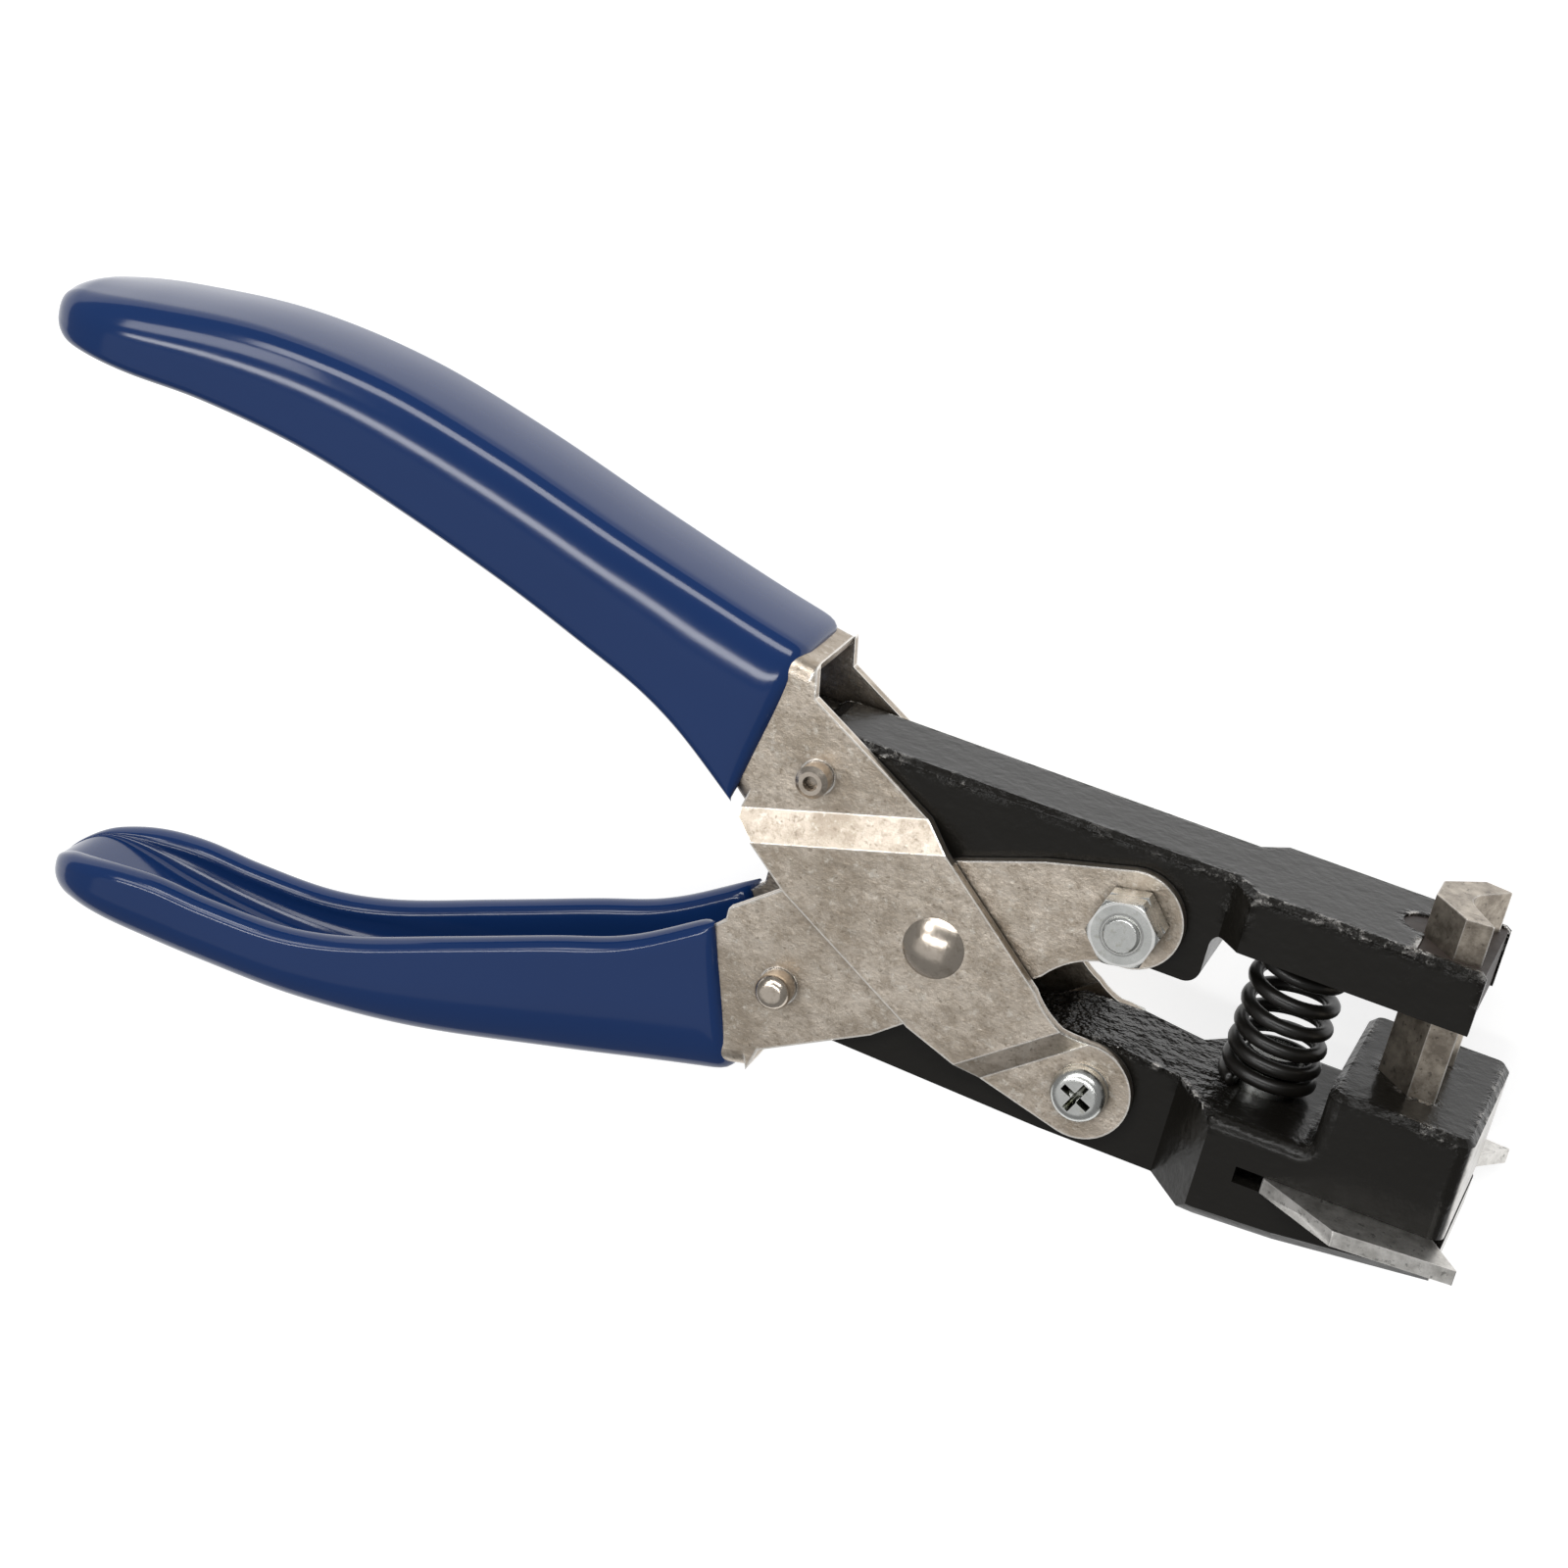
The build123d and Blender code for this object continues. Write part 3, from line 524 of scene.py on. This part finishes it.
def grip_section(height, half, depth):
    """Half of a grip's section as (distance from rim, z): crown, wall, rolled rim, channel floor."""
    inside = half * GRIP_INSIDE / GRIP_HALF
    corner = min(TOP_RADIUS, half * 0.45)
    drop = min(CORNER_DROP, height * 0.55)
    floor = (height - depth + math.hypot(height - depth, DISH_BLEND)) / 2
    rim_out = min(RIM_DEPTH, height * 0.3)
    rim_in = min(RIM_DEPTH, floor * 0.5)
    bend = min(FLOOR_BEND, floor * 0.6, inside * 0.85)
    middle, thick = (half + inside) / 2, (half - inside) / 2
    wall_top = height - drop
    wall_end = max(floor - bend, rim_in)

    def rim(roll, angles):
        return [(roll * (1 - math.sin(a)), middle + thick * math.cos(a)) for a in angles]

    crown = [(height + CROWN_RISE[0], 0.0), (height + CROWN_RISE[1], (half - corner) * 0.5)]
    crown += arc((wall_top, half - corner), (drop, corner), 0, 90, 9)
    outer_wall = [(wall_top + (rim_out - wall_top) * k / 4, half) for k in range(1, 4)]
    inner_wall = [(rim_in + (wall_end - rim_in) * k / 3, inside) for k in range(1, 3)]
    channel = arc((wall_end, inside - bend), (floor - wall_end, bend), 90, 0, 6)
    channel += [(floor, (inside - bend) * 0.5), (floor, 0.0)]
    rolled_rim = rim(rim_out, RIM_ANGLES_OUT) + rim(rim_in, RIM_ANGLES_IN)
    return crown + outer_wall + rolled_rim + inner_wall + channel


def grip_ring(spec, x):
    """Closed ring of row-frame points whose crown stands at x."""
    front, tip = spec["front"], spec["tip"]
    outer = curve_at(spec["outer"], x)
    slope = (outer - curve_at(spec["outer"], x - SLOPE_STEP)) / SLOPE_STEP
    lean = slope * (outer - curve_at(spec["rim"], x - RIM_AHEAD)) * RING_LEAN
    lean *= min(1.0, (x - tip[0]) / LEAN_RELEASE)
    near_front = max(0.0, 1 - (front[0] - x) / FRONT_BLEND)
    lean += (front[1] - front[0] - lean) * near_front
    rim_x = min(max(x + lean, tip[0] + 0.1), spec["rim"][0][0])
    closing = max(0.0, (tip[0] + TIP_ROUND - x) / TIP_ROUND)
    taper = math.sqrt(max(1 - closing ** 2, 0.0))
    narrowing = max(0.0, (tip[0] + TIP_SWELL - x) / TIP_SWELL)
    half = GRIP_HALF * math.sqrt(max(1 - narrowing ** PLAN_POWER, 0.0))
    low = Vector((rim_x, tip[1] + (curve_at(spec["rim"], rim_x) - tip[1]) * taper))
    high = Vector((x, tip[1] + (outer - tip[1]) * taper))
    height = max((high - low).length, 0.02)
    direction = (high - low) / height
    section = grip_section(height, max(half, 0.05), curve_at(spec["depth"], x))
    near = [(low + direction * distance, z) for distance, z in section]
    far = [(point, -z) for point, z in reversed(near[1:-1])]
    return [row(point.x, point.y * spec["mirror"], z) for point, z in near + far]


def skin(rings, size):
    """Quads between successive rings of the given size."""
    faces = []
    for i in range(rings - 1):
        for k in range(size):
            n = (k + 1) % size
            faces.append((i * size + k, i * size + n, (i + 1) * size + n, (i + 1) * size + k))
    return faces


def front_cap(size):
    """Quads across the thickness of the U at its open front end."""
    middle = size // 2
    faces = []
    for k in range(middle // 2):
        inner = middle - k
        faces.append((k + 1, k, inner, inner - 1))
        faces.append(tuple((size - j) % size for j in (k, k + 1, inner - 1, inner)))
    return faces


def grip_mesh(name, spec):
    front, tip = spec["front"], spec["tip"]
    rings = []
    for i in range(GRIP_RINGS + 1):
        along = math.sin(i / GRIP_RINGS * math.pi / 2) ** RING_CROWDING
        rings.append(grip_ring(spec, front[0] - (front[0] - tip[0]) * min(along, 0.9996)))
    size = len(rings[0])
    tip_cap = tuple(GRIP_RINGS * size + k for k in range(size))
    faces = skin(len(rings), size) + front_cap(size) + [tip_cap]
    obj = mesh_object(name, [point for ring in rings for point in ring], faces, "blue_grip")
    smooth = obj.modifiers.new("smooth", "SUBSURF")
    smooth.levels = 1
    smooth.render_levels = 2
    return obj


def mesh_object(name, verts, faces, material):
    """Smooth-shaded object in the scene from plain points and faces."""
    mesh = bpy.data.meshes.new(name)
    mesh.from_pydata(verts, [], faces)
    mesh.validate()
    obj = bpy.data.objects.new(name, mesh)
    bpy.context.scene.collection.objects.link(obj)
    mesh.materials.append(MATERIALS[material])
    fix_normals(obj)
    mesh.polygons.foreach_set("use_smooth", [True] * len(mesh.polygons))
    return obj


def fix_normals(obj):
    bm = bmesh.new()
    bm.from_mesh(obj.data)
    bmesh.ops.remove_doubles(bm, verts=bm.verts, dist=1e-7)
    bmesh.ops.recalc_face_normals(bm, faces=bm.faces)
    bm.to_mesh(obj.data)
    bm.free()


def grips():
    """The two dipped grips, each riding its handle."""
    for side, spec in (("upper", UPPER_GRIP), ("lower", LOWER_GRIP)):
        obj = grip_mesh(side + "_grip_skin", spec)
        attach(obj, side + "_handle")
        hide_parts(side + "_grip")


# ------------------------------------------------------------------ return spring
SPRING_X = 42.3
SPRING_R = 5.15
WIRE_R = 0.93
SPRING_LOW, SPRING_HIGH = -5.15, 15.0
SPRING_COILS = 7.1
SPRING_START = 2.3                 # angle of the wire's lower end, radians
END_COIL = 0.10                    # share of the wire in the closed lower coil
EVEN_SHARE, PITCH_POWER = 0.42, 1.55
SPRING_STEPS, WIRE_SIDES = 330, 14


def spring_rise(t):
    """Share of the height reached at share t of the wire; the pitch opens towards the top."""
    rise = EVEN_SHARE * t + (1 - EVEN_SHARE) * t ** PITCH_POWER
    return rise * math.sqrt(t / END_COIL) if t < END_COIL else rise


def wire_ring(t):
    """Points round the wire at share t of its length."""
    angle = 2 * math.pi * SPRING_COILS * t + SPRING_START
    out = Vector((math.cos(angle), 0.0, math.sin(angle)))
    height = SPRING_LOW + (SPRING_HIGH - SPRING_LOW) * spring_rise(t)
    centre = Vector((SPRING_X, height, 0.0)) + out * SPRING_R * (1.01 - 0.03 * t)
    points = []
    for k in range(WIRE_SIDES):
        a = 2 * math.pi * k / WIRE_SIDES
        points.append(row(*(centre + out * (WIRE_R * math.cos(a)) + Vector((0, WIRE_R * math.sin(a), 0)))))
    return points


def spring_mesh():
    """Black coil spring with a closed lower end, wound closer towards its foot."""
    verts = [point for i in range(SPRING_STEPS + 1) for point in wire_ring(i / SPRING_STEPS)]
    lower_end = tuple(range(WIRE_SIDES))
    upper_end = tuple(SPRING_STEPS * WIRE_SIDES + k for k in reversed(range(WIRE_SIDES)))
    faces = skin(SPRING_STEPS + 1, WIRE_SIDES) + [lower_end, upper_end]
    obj = mesh_object("return_spring_coil", verts, faces, "spring_black")
    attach(obj, "lower_jaw")
    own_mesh(obj)
    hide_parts("return_spring")


# ------------------------------------------------------------------ studio
def soft_box(name, direction, distance, size, radiance):
    """Rectangular light that faces the object, its long side along X."""
    place = Vector(direction).normalized() * distance
    towards = place.normalized()
    side = Vector((1, 0, 0)) - towards * towards.x
    side.normalize()
    matrix = Matrix((side, towards.cross(side), towards)).transposed().to_4x4()
    matrix.translation = place
    light = bpy.data.lights.new(name, "AREA")
    light.shape = "RECTANGLE"
    light.size, light.size_y = size
    light.energy = radiance * math.pi * size[0] * size[1]
    obj = bpy.data.objects.new(name, light)
    obj.matrix_world = matrix
    bpy.context.scene.collection.objects.link(obj)


def floor():
    """Plain white floor that glows a little, so it stays white round the soft shadows."""
    half = 3.0
    corners = [(-half, -half, 0), (half, -half, 0), (half, half, 0), (-half, half, 0)]
    mesh = bpy.data.meshes.new("floor")
    mesh.from_pydata(corners, [], [(0, 1, 2, 3)])
    obj = bpy.data.objects.new("floor", mesh)
    bpy.context.scene.collection.objects.link(obj)
    g = Graph("floor_white")
    g.shader.inputs["Emission Color"].default_value = (1.0, 1.0, 1.0, 1.0)
    g.shader.inputs["Emission Strength"].default_value = 0.80
    g.shader.inputs["Specular IOR Level"].default_value = 0.0
    mesh.materials.append(g.finish(g.mix(g.noise(3.0, 2.0), (0.42, 0.42, 0.42), (0.44, 0.44, 0.44)), 0.9))


def studio():
    world = bpy.data.worlds.new("studio")
    world.use_nodes = True
    world.node_tree.nodes["Background"].inputs["Color"].default_value = (1.0, 1.0, 1.0, 1.0)
    world.node_tree.nodes["Background"].inputs["Strength"].default_value = 0.24
    bpy.context.scene.world = world
    soft_box("overhead", (-0.22, -0.42, 0.90), 1.0, (1.1, 0.55), 0.31)
    soft_box("strip_high", (-0.13, 0.02, 0.98), 1.0, (0.9, 0.10), 10.5)
    soft_box("strip_back", (0.03, 0.69, 0.72), 1.0, (1.0, 0.22), 7.5)
    soft_box("panel_left", (-0.46, 0.38, 0.80), 1.1, (0.30, 0.30), 5.0)
    bpy.context.scene.view_settings.view_transform = "Standard"


def camera():
    data = bpy.data.cameras.new("camera")
    data.lens = LENS_MM
    data.sensor_width = SENSOR_MM
    data.clip_start = 0.01
    obj = bpy.data.objects.new("camera", data)
    place = row(*CAMERA_AT)
    matrix = Matrix((CAMERA_RIGHT, CAMERA_UP, CAMERA_BACK)).transposed().to_4x4()
    matrix.translation = place
    obj.matrix_world = matrix
    bpy.context.scene.collection.objects.link(obj)
    bpy.context.scene.camera = obj


dress_nodes()
grips()
spring_mesh()
floor()
studio()
camera()
